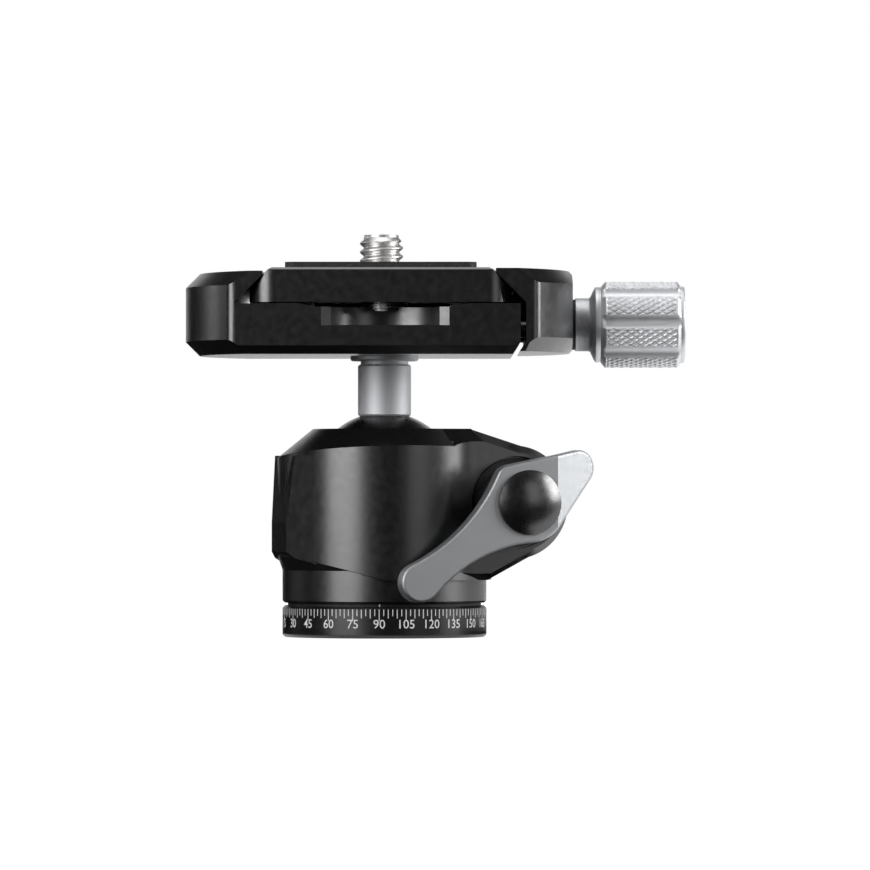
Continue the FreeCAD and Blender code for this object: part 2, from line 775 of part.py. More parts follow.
def channel():
    """What is milled away above the clamp's floor."""
    left = PLATE_X - PLATE_HALF - SEAT * 1.5
    deep = left - (SHELF_Z - FLOOR_Z)
    lip = CLAMP_TOP - HOOK_TIP
    tip = left + (lip - SHELF_Z)
    main = slab([(deep, FLOOR_Z), (tip, lip), (tip, CLAMP_TOP + 1), (40, CLAMP_TOP + 1),
                 (40, FLOOR_Z)], -30, 30)
    run = RELIEF_HALF + RELIEF_RUN
    relief = slab([(-run, FLOOR_Z + 0.01), (-RELIEF_HALF, FLOOR_Z - RELIEF),
                   (RELIEF_HALF, FLOOR_Z - RELIEF), (run, FLOOR_Z + 0.01)], -30, 30)
    return main.fuse(relief)


def scallop(side):
    """The curved bite in a long side that a stop screw moves in."""
    radius = (SCALLOP_HALF ** 2 + SCALLOP_DEEP ** 2) / (2 * SCALLOP_DEEP)
    y = side * (CLAMP_HALF + radius - SCALLOP_DEEP)
    bite = rod(radius, SCALLOP_FOOT, CLAMP_TOP, SCALLOP_X, y)
    x0 = SCALLOP_X - SCALLOP_HALF
    x1 = SCALLOP_X + SCALLOP_HALF
    lip = SCALLOP_LIP
    y0 = side * CLAMP_HALF
    y1 = y0 - side * lip
    mouth = Part.makePolygon([at(x0 - lip, y0 + side, SCALLOP_FOOT), at(x0 - lip, y0, SCALLOP_FOOT),
                              at(x0 + lip, y1, SCALLOP_FOOT), at(x1 - lip, y1, SCALLOP_FOOT),
                              at(x1 + lip, y0, SCALLOP_FOOT), at(x1 + lip, y0 + side, SCALLOP_FOOT),
                              at(x0 - lip, y0 + side, SCALLOP_FOOT)])
    return bite.fuse(Part.Face(mouth).extrude(at(0, 0, CLAMP_TOP - SCALLOP_FOOT)))


def rib_foot():
    return PLATE_FOOT - TONGUE_ROOM


def rib_top():
    return SHELF_Z - TONGUE_ROOM


def tongue_foot():
    return CLAMP_FOOT + TOE_RISE + TONGUE_ROOM


def tongue():
    """The jaw's tongue, and the low rib on it beside the plate."""
    half = TONGUE_HALF
    low = block(JAW_FACE - TONGUE_LONG, JAW_FACE + 1, -half, half, tongue_foot(), rib_foot())
    face = PLATE_X + PLATE_HALF + TONGUE_ROOM / 2
    return low.fuse(block(face, JAW_FACE + 1, -half, half, rib_foot() - 1, rib_top()))


def tongue_slot():
    start = JAW_FACE - TONGUE_LONG - TONGUE_ROOM / 2
    half = TONGUE_HALF + RUN
    low = tongue_foot() - TONGUE_ROOM / 2
    return block(start, BODY_END + 1, -half, half, low, CLAMP_TOP)


def clamp_body():
    shape = clamp_blank(CLAMP_FOOT, CLAMP_TOP).cut(channel())
    shape = shape.cut(block(BODY_END, 40, -30, 30, CLAMP_FOOT - 1, CLAMP_TOP + 1))
    shape = shape.cut(tongue_slot())
    toe = slab([(BODY_END - TOE_RUN, CLAMP_FOOT - 0.01), (BODY_END, CLAMP_FOOT + TOE_RISE),
                (BODY_END + 1, CLAMP_FOOT + TOE_RISE), (BODY_END + 1, CLAMP_FOOT - 0.01)], -30, 30)
    shape = shape.cut(toe).cut(scallop(-1)).cut(scallop(1))
    shape = shape.cut(rod(CLAMP_BOLT_HEAD_R + 0.15, CLAMP_BOLT_FOOT, CLAMP_TOP))
    shape = shape.cut(rod(CLAMP_BOLT_R + 0.1, CLAMP_FOOT - 1, CLAMP_TOP))
    shape = shape.cut(along(SCREW_R + RUN, SCREW_TIP - 0.8, BODY_END + 1, 0, KNOB_Z))
    for side in (-1, 1):
        shape = shape.cut(along(PIN_R, BODY_END - PIN_IN, BODY_END + 1, side * PIN_Y, PIN_Z))
    return shape


def clamp_bolt():
    head = rod(CLAMP_BOLT_HEAD_R, CLAMP_BOLT_FOOT, CLAMP_BOLT_FOOT + CLAMP_BOLT_HEAD_H)
    shaft = rod(CLAMP_BOLT_R, CLAMP_BOLT_FOOT - CLAMP_BOLT_LONG + 0.5, CLAMP_BOLT_FOOT)
    corners = []
    for k in range(6):
        turn = math.radians(60 * k)
        corners.append(at(1.73 * math.cos(turn), 1.73 * math.sin(turn), CLAMP_BOLT_FOOT + 2))
    socket = Part.Face(Part.makePolygon(corners + corners[:1])).extrude(at(0, 0, 5))
    return head.fuse(shaft).cut(socket)


def guide_pin(side):
    return along(PIN_R, BODY_END - PIN_IN, BODY_END + PIN_OUT, side * PIN_Y, PIN_Z)


def jaw_foot():
    return CLAMP_FOOT + JAW_LIFT


def jaw():
    low = jaw_foot()
    high = CLAMP_TOP + JAW_LIFT
    right = PLATE_X + PLATE_HALF + SEAT * 1.5
    lip = CLAMP_TOP - HOOK_TIP + JAW_LIFT
    tip = right - (lip - SHELF_Z)
    heel = SHELF_Z - (JAW_FACE - right)
    slant = TOE_RUN / TOE_RISE
    knee = CLAMP_FOOT + TOE_RISE + 0.15
    outline = [
        (JAW_FACE - slant * (knee - low), low),
        (JAW_FACE, knee),
        (JAW_FACE, heel),
        (tip, lip),
        (tip, high + 1),
        (JAW_END, high + 1),
        (JAW_END, low - 1),
        (JAW_FACE - slant * (knee - low + 1), low - 1),
    ]
    shape = clamp_blank(low, high).common(slab(outline, -30, 30)).fuse(tongue())
    start = JAW_FACE - TONGUE_LONG - 1
    shape = shape.cut(along(SCREW_R + RUN, start, JAW_END + 1, 0, KNOB_Z))
    shape = shape.cut(along(CLIP_RING_R + 0.2, start, JAW_FACE + CLIP_RING_H + 0.3, 0, KNOB_Z))
    reach = BODY_END + PIN_OUT + 0.5
    for side in (-1, 1):
        shape = shape.cut(along(PIN_R + RUN, JAW_FACE - 1, reach, side * PIN_Y, PIN_Z))
    return shape


def clamp_screw():
    shaft = along(SCREW_R, SCREW_TIP, GRIP_END - SET_LONG - 1.2, 0, KNOB_Z)
    x = clip_x()
    groove = along(SCREW_R + 1, x, x + CLIP_RING_H, 0, KNOB_Z)
    groove = groove.cut(along(SCREW_R - 0.4, x - 1, x + 2, 0, KNOB_Z))
    return shaft.cut(groove)


def clip_x():
    """Where the screw's clip ring starts, in the jaw's inner recess."""
    return JAW_FACE + 0.3 - SEAT


def screw_clip():
    x = clip_x()
    ring = along(CLIP_RING_R, x, x + CLIP_RING_H, 0, KNOB_Z)
    ring = ring.cut(along(SCREW_R - 0.4, x - 1, x + 2, 0, KNOB_Z))
    return ring.cut(block(x - 1, x + 2, -1.1, 1.1, KNOB_Z, KNOB_Z + 6))


def knob_washer():
    x = JAW_END + SEAT
    ring = along(KNOB_WASHER_R, x, x + KNOB_WASHER_H, 0, KNOB_Z)
    return ring.cut(along(SCREW_R, x - 1, x + 2, 0, KNOB_Z))


def clamp_knob():
    """Collar, flare, ring and the fluted grip, turned about X."""
    x0 = JAW_END + SEAT + KNOB_WASHER_H
    end_r = GRIP_R - 0.75
    body = turned_x([
        (x0, 0),
        (x0, COLLAR_R),
        (COLLAR_END, COLLAR_R),
        (COLLAR_END + 0.35, COLLAR_R + 0.25),
        (FLARE_END, RING_R),
        (GRIP_START - 0.2, RING_R),
        (GRIP_START, RING_R + 0.15),
        (GRIP_START + 0.55, GRIP_R),
        (GRIP_END - 0.5, GRIP_R),
        (GRIP_END, end_r),
        (KNOB_END - 0.2, end_r),
        (KNOB_END, end_r - 0.3),
        (KNOB_END, 0),
    ], KNOB_Z)
    reach = GRIP_R + FLUTE_R - FLUTE_DEEP
    for k in range(FLUTES):
        turn = math.radians(360.0 / FLUTES * k + FLUTE_TURN)
        y = -reach * math.sin(turn)
        z = KNOB_Z + reach * math.cos(turn)
        body = body.cut(along(FLUTE_R, GRIP_START + 0.05, GRIP_END + 0.01, y, z))
    body = body.cut(along(SCREW_R, x0 - 1, GRIP_END - SET_LONG - 1.0, 0, KNOB_Z))
    return body.cut(along(SET_R, GRIP_END - SET_LONG - 1.1, KNOB_END + 1, 0, KNOB_Z))


def knob_set_screw():
    x1 = KNOB_END - 0.6
    x0 = GRIP_END - SET_LONG - 1.0
    shape = along(SET_R, x0, x1, 0, KNOB_Z)
    corners = []
    for k in range(6):
        turn = math.radians(60 * k)
        corners.append(at(x1 - 1.2, 0.85 * math.cos(turn), KNOB_Z + 0.85 * math.sin(turn)))
    socket = Part.Face(Part.makePolygon(corners + corners[:1])).extrude(at(3, 0, 0))
    return shape.cut(socket)


def plate():
    half = PLATE_HALF
    deep = CLAMP_HALF
    plan = block(PLATE_X - half, PLATE_X + half, -deep, deep, PLATE_FOOT, PLATE_TOP)
    plan = plan.makeFillet(PLATE_CORNER, upright(plan))
    side = half
    top = half - PLATE_BEVEL
    cut_z = PLATE_TOP - PLATE_EDGE
    outline = [
        (PLATE_X - side, PLATE_FOOT),
        (PLATE_X - side, SHELF_Z),
        (PLATE_X - top - PLATE_EDGE, cut_z),
        (PLATE_X - top + PLATE_EDGE, PLATE_TOP),
        (PLATE_X + top - PLATE_EDGE, PLATE_TOP),
        (PLATE_X + top + PLATE_EDGE, cut_z),
        (PLATE_X + side, SHELF_Z),
        (PLATE_X + side, PLATE_FOOT),
    ]
    ends = [
        (-deep, PLATE_FOOT),
        (-deep, PLATE_TOP - PLATE_EDGE),
        (-deep + PLATE_EDGE, PLATE_TOP),
        (deep - PLATE_EDGE, PLATE_TOP),
        (deep, PLATE_TOP - PLATE_EDGE),
        (deep, PLATE_FOOT),
    ]
    shape = plan.common(slab(outline, -30, 30)).common(slab_x(ends, -30, 30))
    x = PLATE_X
    pocket = block(x - POCKET_HALF_X, x + POCKET_HALF_X, -POCKET_HALF_Y, POCKET_HALF_Y,
                   PLATE_FOOT - 1, PLATE_FOOT + POCKET_DEEP)
    shape = shape.cut(pocket)
    shape = shape.cut(rod(CAM_HEAD_R + 0.3, PLATE_FOOT - 1, CAM_HEAD_TOP + SEAT, x))
    shape = shape.cut(rod(THREAD_R + RUN, PLATE_FOOT, PLATE_TOP + 1, x))
    for end in (-1, 1):
        shape = shape.cut(rod(STOP_R, PLATE_FOOT - 1, PLATE_TOP + 1, x, end * STOP_Y))
    return shape


def plate_pad():
    x = PLATE_X
    shape = block(x - PAD_HALF_X, x + PAD_HALF_X, -PAD_HALF_Y, PAD_HALF_Y, PLATE_TOP, PAD_TOP_Z)
    shape = shape.makeFillet(PAD_CORNER, upright(shape))
    return shape.cut(rod(CAM_CLIP_R + 0.5, PLATE_TOP - 1, PAD_TOP_Z + 1, x))


def stop_screw(end):
    y = end * STOP_Y
    shape = rod(STOP_R, PLATE_FOOT - STOP_OUT, PLATE_TOP - 0.6, PLATE_X, y)
    low = PLATE_FOOT - STOP_OUT
    socket = rod(0.7, low - 1, low + 1.2, PLATE_X, y)
    return shape.cut(socket)


def camera_screw():
    x = PLATE_X
    head = rod(CAM_HEAD_R, CAM_HEAD_FOOT, CAM_HEAD_TOP, x)
    shaft = rod(THREAD_R, CAM_HEAD_TOP, THREAD_TOP - THREAD_EDGE, x)
    tip = Part.makeCone(THREAD_R, THREAD_R - THREAD_EDGE, THREAD_EDGE,
                        at(x, 0, THREAD_TOP - THREAD_EDGE), Z)
    shape = head.fuse([shaft, tip])
    low = PLATE_TOP + SEAT
    groove = tube(THREAD_R + 1, THREAD_R - CAM_GROOVE, low, low + CAM_CLIP_H, x)
    slot = block(x - 10, x + 10, -CAM_SLOT / 2, CAM_SLOT / 2, CAM_HEAD_FOOT - 1, CAM_HEAD_FOOT + 0.9)
    return shape.cut(groove).cut(slot)


def camera_clip():
    low = PLATE_TOP + SEAT
    ring = tube(CAM_CLIP_R, THREAD_R - CAM_GROOVE, low, low + CAM_CLIP_H, PLATE_X)
    return ring.cut(block(PLATE_X - 0.9, PLATE_X + 0.9, 0, 8, low - 1, low + 2))


PIECES = {
    "pan_base": pan_base,
    "pan_washer": pan_washer,
    "base_clip": base_clip,
    "housing": housing,
    "closing_ring": closing_ring,
    "spring_plate": spring_plate,
    "disc_spring": disc_spring,
    "ball_cup": ball_cup,
    "lock_bolt": lock_bolt,
    "thrust_washer": thrust_washer,
    "lever_hub": lever_hub,
    "lock_lever": lock_lever,
    "lever_screw": lever_screw,
    "lever_cap": lever_cap,
    "ball": ball,
    "ball_stud": ball_stud,
    "stem_sleeve": stem_sleeve,
    "stem_flange": stem_flange,
    "clamp_body": clamp_body,
    "clamp_bolt": clamp_bolt,
    "guide_pin_front": lambda: guide_pin(-1),
    "guide_pin_back": lambda: guide_pin(1),
    "jaw": jaw,
    "clamp_screw": clamp_screw,
    "screw_clip": screw_clip,
    "knob_washer": knob_washer,
    "clamp_knob": clamp_knob,
    "knob_set_screw": knob_set_screw,
    "plate": plate,
    "plate_pad": plate_pad,
    "stop_screw_front": lambda: stop_screw(-1),
    "stop_screw_back": lambda: stop_screw(1),
    "camera_screw": camera_screw,
    "camera_clip": camera_clip,
}

os.makedirs("parts", exist_ok=True)
for name, make in PIECES.items():
    piece = make()
    if len(piece.Solids) == 1:
        piece = piece.Solids[0]
    piece.exportStep("parts/" + name + ".step")
    print(name, piece.isValid(), len(piece.Solids), round(piece.Volume, 2))
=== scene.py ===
import math

import bpy
import numpy as np
from bpy.props import FloatProperty, FloatVectorProperty, IntProperty, PointerProperty
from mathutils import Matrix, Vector


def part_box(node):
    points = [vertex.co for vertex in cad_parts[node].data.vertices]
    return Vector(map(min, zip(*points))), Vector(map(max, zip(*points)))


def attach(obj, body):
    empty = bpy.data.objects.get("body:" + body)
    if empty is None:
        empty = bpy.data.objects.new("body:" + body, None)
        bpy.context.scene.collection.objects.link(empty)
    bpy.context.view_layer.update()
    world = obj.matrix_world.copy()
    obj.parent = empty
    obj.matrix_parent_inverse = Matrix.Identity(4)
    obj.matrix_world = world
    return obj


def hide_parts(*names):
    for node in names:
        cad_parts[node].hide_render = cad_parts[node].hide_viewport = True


bl_info = {
    "name": "Tripod Ball Head",
    "version": (1, 0, 0),
    "blender": (4, 5, 0),
    "location": "View3D > Sidebar > Ball Head",
    "description": "Finishes, knurl, threads, dial marks and studio for a ball head",
    "category": "Object",
}

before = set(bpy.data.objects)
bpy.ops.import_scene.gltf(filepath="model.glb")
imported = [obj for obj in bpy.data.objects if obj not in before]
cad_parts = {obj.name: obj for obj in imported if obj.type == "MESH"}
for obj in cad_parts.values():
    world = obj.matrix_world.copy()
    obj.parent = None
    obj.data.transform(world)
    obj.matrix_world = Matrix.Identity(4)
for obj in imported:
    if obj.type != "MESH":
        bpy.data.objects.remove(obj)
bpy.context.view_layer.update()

MM = 0.001

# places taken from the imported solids, in metres
BASE_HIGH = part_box("pan_base")[1]
WASHER_LOW, WASHER_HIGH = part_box("pan_washer")
KNOB_LOW, KNOB_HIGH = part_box("clamp_knob")
CAM_LOW, CAM_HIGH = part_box("camera_screw")
BOLT_LOW, BOLT_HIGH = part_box("clamp_bolt")
PAD_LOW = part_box("plate_pad")[0]

DIAL_R = BASE_HIGH.x
DIAL_TOP = WASHER_LOW.z
KNOB_Z = (KNOB_LOW.z + KNOB_HIGH.z) / 2
CAM_X = (CAM_LOW.x + CAM_HIGH.x) / 2

# knob, in millimetres: its grip and the round flutes bitten into it
GRIP_R = 6.36
GRIP_FROM_LEFT = 4.40
GRIP_FROM_RIGHT = 1.10
KNOB_COLUMNS = 736
KNURL_SLANT = 0.62
FLUTES = 8
FLUTE_R = 1.35
FLUTE_DEEP = 0.6
FLUTE_TURN = 3

# threads, in millimetres
THREAD_MAJOR_R = 3.175
THREAD_DEPTH = 0.56
THREAD_RUN_OUT = 1.15
NECK_R = 2.74
STOP_THREAD_R = 1.24
STOP_DEPTH = 0.26

# knurled head of the clamp's bolt, in millimetres
BOLT_HEAD_H = 4.0
BOLT_SHANK_R = 2.0
BOLT_RIBS = 44
BOLT_RIB_H = 0.16

# dial: marks round it, and how far its print stands out and lies in, in metres
MARK_STEP = 2.5
NUMBER_STEP = 15
FRONT_TURN = math.radians(-2.5)
MARKS_DOWN = 0.38 * MM
NUMBERS_DOWN = 3.13 * MM
PRINT_IN = -0.03 * MM

# stage, in metres: the floor's reach, and the dark cards just above it, which only reflections see
# and which paint shade on the parts' undersides
FLOOR_REACH = 3.0
CARD_Z = 0.0005
CARD_FRONT_Y = -0.03
CARD_UNDER_X = 0.030
CARD_UNDER_Y = 0.10
CARD_LEFT_X = -0.05

# photograph's frame: its size, pixels per metre, eye point and the part's foot
PICTURE = 870.0
PICTURE_SCALE = 6800.0
EYE_PX = (435.0, 495.0)
AXIS_PX = (384.5, 636.6)


class BallHeadSizes(bpy.types.PropertyGroup):
    """Sizes of the marks, knurl and threads."""

    knurl_rows: IntProperty(
        name="Knurl rows", description="Diamonds once round the knob's grip",
        default=46, min=20, max=90)
    knurl_depth: FloatProperty(
        name="Knurl depth", description="Height of each diamond",
        default=0.20 * MM, unit="LENGTH", precision=5)
    thread_pitch: FloatProperty(
        name="Camera thread pitch", description="Rise of the camera screw's thread per turn",
        default=1.27 * MM, unit="LENGTH", precision=5)
    stop_pitch: FloatProperty(
        name="Stop thread pitch", description="Rise of the stop screws' thread per turn",
        default=0.5 * MM, unit="LENGTH", precision=5)
    tick_short: FloatProperty(
        name="Short mark", description="Length of the marks between the others",
        default=0.97 * MM, unit="LENGTH", precision=5)
    tick_middle: FloatProperty(
        name="Middle mark", description="Length of every second mark",
        default=1.30 * MM, unit="LENGTH", precision=5)
    tick_long: FloatProperty(
        name="Long mark", description="Length of the marks that carry a number",
        default=1.68 * MM, unit="LENGTH", precision=5)
    tick_wide: FloatProperty(
        name="Mark width", description="Width of each mark round the dial",
        default=0.13 * MM, unit="LENGTH", precision=5)
    number_high: FloatProperty(
        name="Number height", description="Height of the dial's numbers",
        default=1.32 * MM, unit="LENGTH", precision=5)


class BallHeadColours(bpy.types.PropertyGroup):
    """Colours of the finishes."""

    black: FloatVectorProperty(
        name="Black anodised", description="Satin black of the aluminium parts",
        subtype="COLOR", size=3, default=(0.0035, 0.0035, 0.0042), min=0, max=1)
    silver: FloatVectorProperty(
        name="Silver", description="Turned and knurled aluminium",
        subtype="COLOR", size=3, default=(0.72, 0.73, 0.75), min=0, max=1)
    lever: FloatVectorProperty(
        name="Lever", description="Matte silver of the lock lever",
        subtype="COLOR", size=3, default=(0.42, 0.43, 0.44), min=0, max=1)
    steel: FloatVectorProperty(
        name="Bright steel", description="Camera screw",
        subtype="COLOR", size=3, default=(0.70, 0.69, 0.68), min=0, max=1)
    mark: FloatVectorProperty(
        name="Marks", description="White of the dial's marks and numbers",
        subtype="COLOR", size=3, default=(0.80, 0.80, 0.80), min=0, max=1)
    rubber: FloatVectorProperty(
        name="Pad", description="Rubber pad under the camera",
        subtype="COLOR", size=3, default=(0.014, 0.014, 0.015), min=0, max=1)


def sizes():
    """The scene's sizes, which the sidebar can change."""
    return bpy.context.scene.ball_head_sizes


def colours():
    """The scene's colours, which the sidebar can change."""
    return bpy.context.scene.ball_head_colours


def put_mesh(name, points, faces, smooth_angle=None):
    """A mesh object at the origin from an array of points and of faces."""
    mesh = bpy.data.meshes.new(name)
    mesh.from_pydata(points.tolist(), [], faces.tolist())
    mesh.validate()
    mesh.update()
    if smooth_angle is not None:
        mesh.shade_smooth()
        mesh.set_sharp_from_angle(angle=math.radians(smooth_angle))
    piece = bpy.data.objects.new(name, mesh)
    bpy.context.collection.objects.link(piece)
    return piece


def grid_faces(rows, columns):
    """Quads of a grid that closes on itself across its columns."""
    i = np.arange(rows - 1)[:, None]
    j = np.arange(columns)[None, :]
    k = (j + 1) % columns
    quads = np.stack([i * columns + j, i * columns + k, (i + 1) * columns + k,
                      (i + 1) * columns + j], axis=-1)
    return quads.reshape(-1, 4)


def turned_mesh(name, along, radius, place, smooth_angle=35):
    """A closed surface of rings: along[i] is how far ring i lies on the axis
    and radius[i, j] is its radius at turn j. place maps (along, across, up)
    to the row's frame. The first and last rings shrink to the axis."""
    columns = radius.shape[1]
    turn = np.arange(columns) * 2 * math.pi / columns
    a = np.repeat(along[:, None], columns, axis=1)
    points = place(a, radius * np.cos(turn), radius * np.sin(turn)).reshape(-1, 3)
    rows = radius.shape[0]
    quads = grid_faces(rows, columns)
    faces = [quads[:, [0, 1, 2]], quads[:, [0, 2, 3]]]
    first = len(points)
    ends = place(along[[0, -1]], np.zeros(2), np.zeros(2)).reshape(-1, 3)
    j = np.arange(columns)
    k = (j + 1) % columns
    faces.append(np.stack([np.full(columns, first), k, j], axis=-1))
    last = (rows - 1) * columns
    faces.append(np.stack([np.full(columns, first + 1), last + j, last + k], axis=-1))
    return put_mesh(name, np.vstack([points, ends]), np.vstack(faces), smooth_angle)


def node_material(name, **sockets):
    """A material with one Principled shader, whose sockets get constants."""
    material = bpy.data.materials.new(name)
    material.use_nodes = True
    shader = material.node_tree.nodes["Principled BSDF"]
    for socket, value in sockets.items():
        shader.inputs[socket.replace("_", " ")].default_value = value
    return material, shader


def fine_bump(material, shader, scale, strength, distance, stretch=(1, 1, 1)):
    """Noise on Object coordinates as a small bump."""
    tree = material.node_tree
    where = tree.nodes.new("ShaderNodeTexCoord")
    turn = tree.nodes.new("ShaderNodeMapping")
    turn.inputs["Scale"].default_value = stretch
    noise = tree.nodes.new("ShaderNodeTexNoise")
    noise.inputs["Scale"].default_value = scale
    noise.inputs["Detail"].default_value = 4.0
    bump = tree.nodes.new("ShaderNodeBump")
    bump.inputs["Strength"].default_value = strength
    bump.inputs["Distance"].default_value = distance
    tree.links.new(where.outputs["Object"], turn.inputs["Vector"])
    tree.links.new(turn.outputs["Vector"], noise.inputs["Vector"])
    tree.links.new(noise.outputs["Fac"], bump.inputs["Height"])
    tree.links.new(bump.outputs["Normal"], shader.inputs["Normal"])


def worn_roughness(material, shader, scale, low, high, stretch=(1, 1, 1)):
    """Noise on Object coordinates that varies the roughness."""
    tree = material.node_tree
    where = tree.nodes.new("ShaderNodeTexCoord")
    turn = tree.nodes.new("ShaderNodeMapping")
    turn.inputs["Scale"].default_value = stretch
    noise = tree.nodes.new("ShaderNodeTexNoise")
    noise.inputs["Scale"].default_value = scale
    spread = tree.nodes.new("ShaderNodeMapRange")
    spread.inputs["From Min"].default_value = 0.3
    spread.inputs["From Max"].default_value = 0.7
    spread.inputs["To Min"].default_value = low
    spread.inputs["To Max"].default_value = high
    tree.links.new(where.outputs["Object"], turn.inputs["Vector"])
    tree.links.new(turn.outputs["Vector"], noise.inputs["Vector"])
    tree.links.new(noise.outputs["Fac"], spread.inputs["Value"])
    tree.links.new(spread.outputs["Result"], shader.inputs["Roughness"])


def coloured(value):
    """A colour with full alpha, as a shader's socket takes it."""
    return (value[0], value[1], value[2], 1.0)


def black_anodised(name="black_anodised", low=0.28, high=0.34, specular=0.9):
    """Satin black with the fine grain of bead blasting."""
    material, shader = node_material(name, Base_Color=coloured(colours().black), Metallic=0.0,
                                     IOR=1.62, Specular_IOR_Level=specular)
    worn_roughness(material, shader, 900, low, high)
    fine_bump(material, shader, 9000, 0.10, 0.00003)
    return material


def silver_turned():
    """Satin silver with fine rings left by turning."""
    material, shader = node_material(
        "silver_turned", Base_Color=coloured(colours().silver), Metallic=1.0)
    worn_roughness(material, shader, 500, 0.60, 0.64, stretch=(0.2, 0.2, 4))
    fine_bump(material, shader, 1200, 0.02, 0.00001, stretch=(0.02, 0.02, 8))
    return material


def silver_knob():
    """Bead-blasted silver of the knob."""
    material, shader = node_material(
        "silver_knob", Base_Color=coloured(colours().silver), Metallic=1.0)
    worn_roughness(material, shader, 1500, 0.50, 0.58)
    fine_bump(material, shader, 7000, 0.25, 0.00004)
    return material


def lever_silver():
    """Matte anodised silver of the lever."""
    material, shader = node_material(
        "lever_silver", Base_Color=coloured(colours().lever), Metallic=1.0)
    worn_roughness(material, shader, 1200, 0.50, 0.58)
    fine_bump(material, shader, 9000, 0.20, 0.00003)
    return material


def bright_steel():
    """Bright steel of the camera screw."""
    material, shader = node_material(
        "bright_steel", Base_Color=coloured(colours().steel), Metallic=1.0)
    worn_roughness(material, shader, 2500, 0.38, 0.46)
    return material


def plain_steel():
    """Small springs, clips and pins."""
    material, shader = node_material(
        "plain_steel", Base_Color=(0.42, 0.42, 0.43, 1.0), Metallic=1.0)
    worn_roughness(material, shader, 1800, 0.28, 0.42)
    return material


def dark_steel(name="dark_steel", shade=0.036):
    """Black oxide on screws and bolts."""
    material, shader = node_material(name, Base_Color=(shade, shade, shade, 1.0), Metallic=0.6)
    worn_roughness(material, shader, 1800, 0.26, 0.40)
    return material


def dark_polymer():
    """Dark plastic of the sliding washers."""
    material, shader = node_material(
        "dark_polymer", Base_Color=(0.006, 0.006, 0.006, 1.0), Metallic=0.0)
    worn_roughness(material, shader, 1200, 0.50, 0.65)
    return material


def pad_rubber():
    """Rubber pad with a fine woven grain on its faces."""
    material, shader = node_material(
        "pad_rubber", Base_Color=coloured(colours().rubber), Metallic=0.0)
    worn_roughness(material, shader, 1500, 0.60, 0.75)
    tree = material.node_tree
    where = tree.nodes.new("ShaderNodeTexCoord")
    grain = tree.nodes.new("ShaderNodeTexVoronoi")
    grain.inputs["Scale"].default_value = 1600
    bump = tree.nodes.new("ShaderNodeBump")
    bump.inputs["Strength"].default_value = 0.6
    bump.inputs["Distance"].default_value = 0.00012
    tree.links.new(where.outputs["Object"], grain.inputs["Vector"])
    tree.links.new(grain.outputs["Distance"], bump.inputs["Height"])
    tree.links.new(bump.outputs["Normal"], shader.inputs["Normal"])
    return material


def mark_white():
    """White fill of the dial's engraved marks."""
    material, shader = node_material(
        "mark_white", Base_Color=coloured(colours().mark), Metallic=0.0)
    worn_roughness(material, shader, 3000, 0.45, 0.60)
    return material


def dress(material, *nodes):
    """Give CAD nodes a finish, and leave their shape and place alone."""
    for node in nodes:
        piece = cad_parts[node]
        if not piece.material_slots:
            piece.data.materials.append(material)
        for spot in piece.material_slots:
            spot.link = "OBJECT"
            spot.material = material


class BALLHEAD_OT_black_parts(bpy.types.Operator):
    """Black anodised parts and the polished ball."""

    bl_idname = "ball_head.black_parts"
    bl_label = "Black parts"

    def execute(self, context):
        satin = black_anodised()
        dress(satin, "housing", "closing_ring", "clamp_body", "jaw", "plate")
        dress(black_anodised("dial_black", 0.30, 0.36, 0.40), "pan_base")
        smooth = black_anodised("ball_black", 0.26, 0.32)
        dress(smooth, "ball", "lever_cap")
        return {"FINISHED"}


class BALLHEAD_OT_silver_parts(bpy.types.Operator):
    """Silver stem and lever."""

    bl_idname = "ball_head.silver_parts"
    bl_label = "Silver parts"

    def execute(self, context):
        dress(silver_turned(), "stem_sleeve", "stem_flange")
        dress(lever_silver(), "lock_lever")
        return {"FINISHED"}


class BALLHEAD_OT_small_parts(bpy.types.Operator):
    """Screws, springs, clips, washers and the rubber pad."""

    bl_idname = "ball_head.small_parts"
    bl_label = "Small parts"

    def execute(self, context):
        dress(plain_steel(), "base_clip", "spring_plate", "disc_spring", "guide_pin_front",
              "guide_pin_back", "clamp_screw", "screw_clip", "camera_clip")
        dress(dark_steel(), "lock_bolt", "lever_hub", "lever_screw", "ball_stud", "clamp_bolt",
              "knob_set_screw", "stop_screw_front", "stop_screw_back")
        dress(dark_polymer(), "pan_washer", "ball_cup", "thrust_washer", "knob_washer")
        dress(pad_rubber(), "plate_pad")
        return {"FINISHED"}


def knob_profile():
    """Collar, flare and ring as (x from the knob's left end, radius), in
    millimetres."""
    return np.array([
        (0.00, 3.75), (0.12, 3.9), (2.03, 3.9), (2.10, 3.95), (2.25, 4.05), (2.45, 4.45),
        (2.70, 5.00), (2.93, 5.42), (3.02, 5.52), (3.60, 5.55), (3.68, 5.50), (3.76, 5.50),
        (3.86, 5.62), (GRIP_FROM_LEFT, 6.28),
    ])


def knob_tail(right):
    """The grip's end and the end face with its bore, as (x, radius)."""
    return np.array([
        (right - GRIP_FROM_RIGHT + 0.06, GRIP_R - 0.05), (right - 0.62, 5.70),
        (right - 0.60, 5.62), (right - 0.55, 5.62), (right - 0.22, 5.62), (right - 0.05, 5.50),
        (right, 5.30), (right, 1.52), (right - 0.7, 1.50),
    ])


def flute_radius(turn, k):
    """Radius of the near side of flute k at each turn, and a large number
    where the flute doesn't reach."""
    reach = GRIP_R + FLUTE_R - FLUTE_DEEP
    middle = math.radians(360 / FLUTES * k + FLUTE_TURN)
    off = (turn - middle + math.pi) % (2 * math.pi) - math.pi
    side = reach * np.sin(off)
    inside = (np.abs(side) < FLUTE_R) & (np.abs(off) < 1)
    root = np.sqrt(np.maximum(FLUTE_R ** 2 - side ** 2, 0))
    return np.where(inside, reach * np.cos(off) - root, 99.0)


